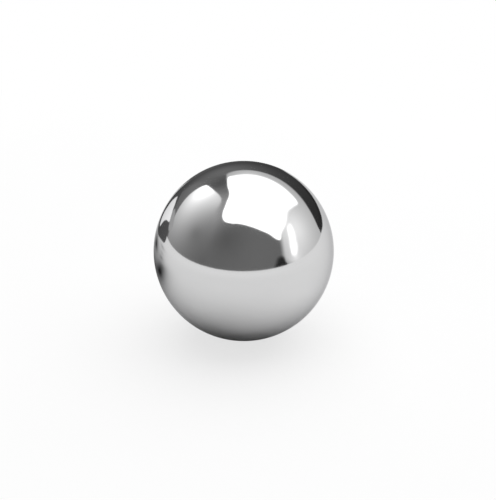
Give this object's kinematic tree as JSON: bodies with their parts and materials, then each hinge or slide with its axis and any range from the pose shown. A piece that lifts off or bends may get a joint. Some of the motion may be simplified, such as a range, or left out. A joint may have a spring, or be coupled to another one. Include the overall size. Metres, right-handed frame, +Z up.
{
  "type": "steel ball",
  "caption": "Solid one-piece steel ball, a true sphere with a mirror-polished surface, for rolling, spacing or resting in a cup, ring or groove.",
  "frame": {"origin": "centre of the ball", "axes": "+Z up; the ball is the same about every axis through its centre"},
  "size_m": [0.0254, 0.0254, 0.0254],
  "materials": {
    "polished_steel": "mirror polished"
  },
  "bodies": {
    "root": {"ball": "polished_steel"}
  },
  "joints": []
}
